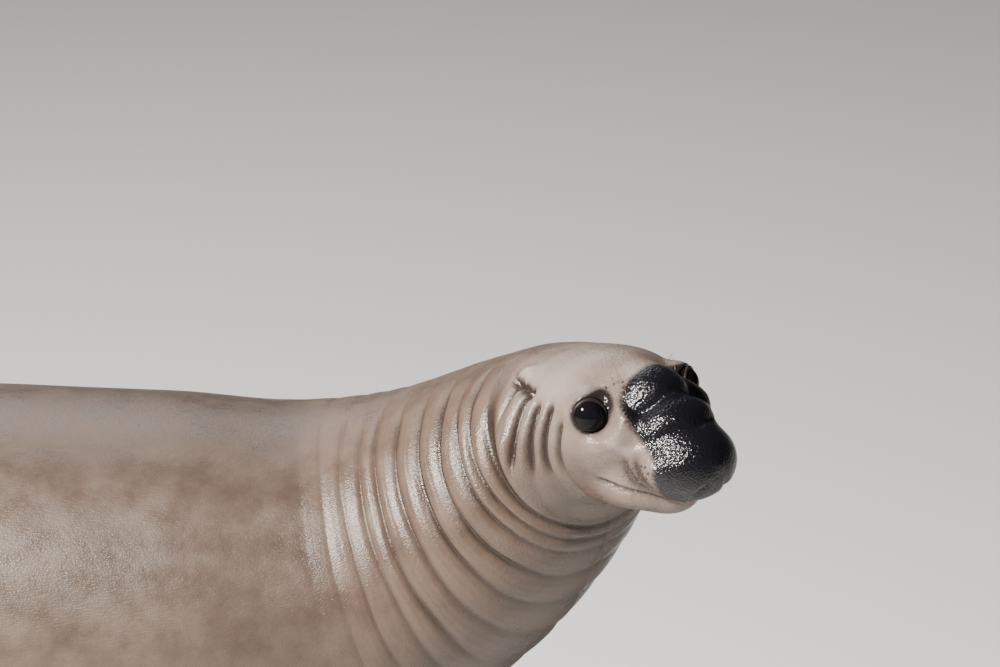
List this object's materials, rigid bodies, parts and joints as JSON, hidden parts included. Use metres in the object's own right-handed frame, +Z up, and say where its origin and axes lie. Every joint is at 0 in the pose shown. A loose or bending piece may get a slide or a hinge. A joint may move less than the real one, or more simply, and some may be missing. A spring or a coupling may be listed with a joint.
{
  "type": "elephant seal",
  "caption": "Elephant seal swimming with its head raised and turned to its right, short trunk-like nose, folded neck and flippers, on a display stand with rods.",
  "frame": {"origin": "centre of the underside of the stand's base", "axes": "+X from the tail towards the head, +Y to the animal's left, +Z up"},
  "size_m": [3.7747, 1.2232, 1.3613],
  "materials": {
    "skin": "wet grey-brown hide with a short coat",
    "nose_skin": "wet black bare skin",
    "eye": "wet black eye",
    "claw": "dark horn",
    "base": "dark stained wood, satin",
    "rod": "brushed steel"
  },
  "bodies": {
    "root": {"head": "skin", "lower_jaw": "skin", "nose": "nose_skin", "neck": "skin", "torso": "skin", "hips": "skin", "tail": "skin", "fore_flipper_right": "skin", "fore_flipper_left": "skin", "hind_flipper_right": "skin", "hind_flipper_left": "skin", "eye_right": "eye", "eye_left": "eye", "claw_right_1": "claw", "claw_right_2": "claw", "claw_right_3": "claw", "claw_right_4": "claw", "claw_right_5": "claw", "claw_left_1": "claw", "claw_left_2": "claw", "claw_left_3": "claw", "claw_left_4": "claw", "claw_left_5": "claw", "stand_base": "base", "stand_rod_front": "rod", "stand_rod_rear": "rod"}
  },
  "joints": []
}
